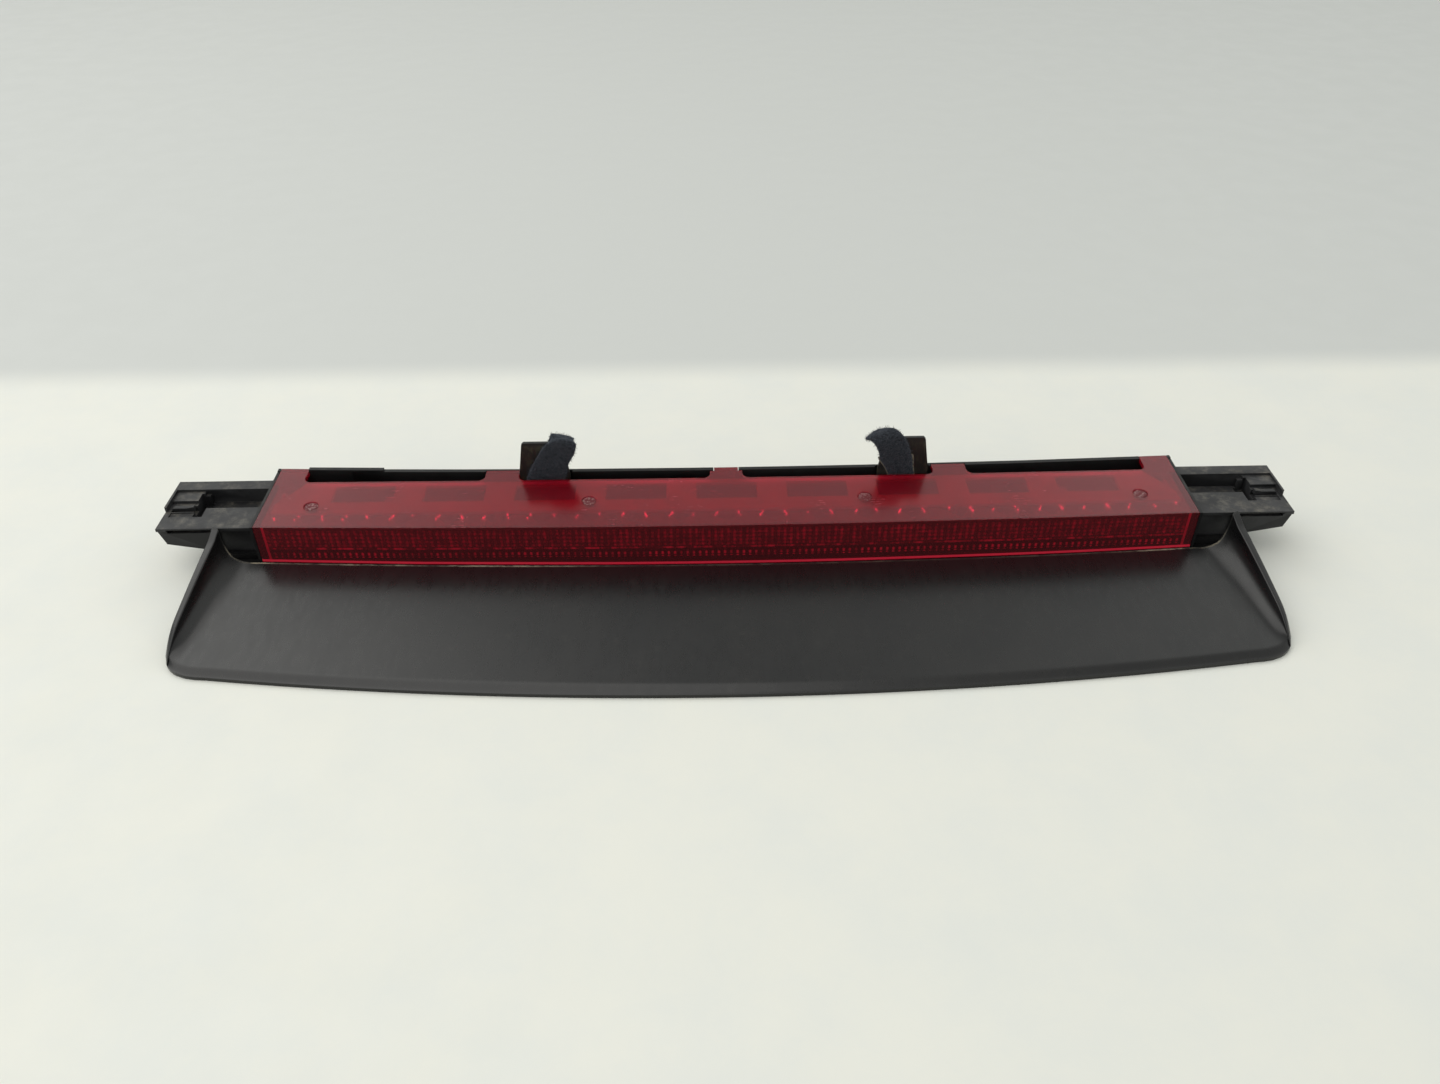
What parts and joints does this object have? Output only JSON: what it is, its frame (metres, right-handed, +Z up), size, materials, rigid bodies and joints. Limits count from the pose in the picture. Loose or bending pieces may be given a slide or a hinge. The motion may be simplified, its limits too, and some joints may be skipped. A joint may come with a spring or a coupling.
{
  "type": "third brake light",
  "caption": "High-mount rear brake lamp: bowed red lens on a black housing with guide blocks at both ends, sprung felt-padded rear tabs and a scoop-shaped light shield.",
  "frame": {"origin": "on the ground below the middle of the lamp's bounding box", "axes": "+X along the lamp to the right as seen from the visor, +Y from the visor's front edge to the back wall, +Z up out of the lens's top face"},
  "size_m": [0.4574, 0.1141, 0.0462],
  "materials": {
    "visor_plastic": "fine-grained semi-matt dark grey plastic with dust",
    "housing_plastic": "black moulded plastic",
    "lens_red": "clear red acrylic, smooth top, fluted front",
    "optic_clear": "clear acrylic",
    "frame_plastic": "light grey moulded plastic",
    "board": "green solder resist",
    "led_resin": "tinted resin",
    "component_black": "moulded component body",
    "capacitor_can": "bare can",
    "pin_metal": "tinned",
    "block_plastic": "dark grey moulded plastic, worn edges",
    "tab_plastic": "black plastic with adhesive residue",
    "felt": "fuzzy dark needle felt",
    "stake_plastic": "hot-formed grey plastic",
    "screw_steel": "zinc plated"
  },
  "bodies": {
    "lamp": {"visor": "visor_plastic", "housing": "housing_plastic", "outer_lens": "lens_red", "inner_optic": "optic_clear", "reflector_frame": "frame_plastic", "circuit_board": "board", "leds": "led_resin", "resistors": "component_black", "diodes": "component_black", "voltage_regulator": "component_black", "capacitors": "capacitor_can", "connector_socket": "housing_plastic", "terminal_pins": "pin_metal", "end_block_left": "block_plastic", "end_block_right": "block_plastic", "lens_stakes": "stake_plastic", "visor_screws": "screw_steel", "end_block_screws": "screw_steel", "board_screws": "screw_steel"},
    "rear_tab_left": {"rear_tab_left": "tab_plastic", "felt_left": "felt"},
    "rear_tab_right": {"rear_tab_right": "tab_plastic", "felt_right": "felt"},
    "snap_tongue_left": {"snap_tongue_left": "block_plastic"},
    "snap_tongue_right": {"snap_tongue_right": "block_plastic"}
  },
  "joints": [
    {"name": "rear_tab_left_flex", "type": "hinge", "parent": "lamp", "child": "rear_tab_left", "pos_m": [-0.0759, 0.05025, 0.00705], "axis": [1, 0, 0], "range_deg": [-4, 1.5], "stiffness_Nm_per_rad": 0.6},
    {"name": "rear_tab_right_flex", "type": "hinge", "parent": "lamp", "child": "rear_tab_right", "pos_m": [0.0741, 0.05025, 0.00705], "axis": [1, 0, 0], "range_deg": [-4, 1.5], "stiffness_Nm_per_rad": 0.6},
    {"name": "snap_tongue_left_flex", "type": "hinge", "parent": "lamp", "child": "snap_tongue_left", "pos_m": [-0.2256, 0.0343, 0.0222], "axis": [0, -1, 0], "range_deg": [-8, 0], "stiffness_Nm_per_rad": 0.3},
    {"name": "snap_tongue_right_flex", "type": "hinge", "parent": "lamp", "child": "snap_tongue_right", "pos_m": [0.2256, 0.0343, 0.0222], "axis": [0, 1, 0], "range_deg": [-8, 0], "stiffness_Nm_per_rad": 0.3}
  ]
}
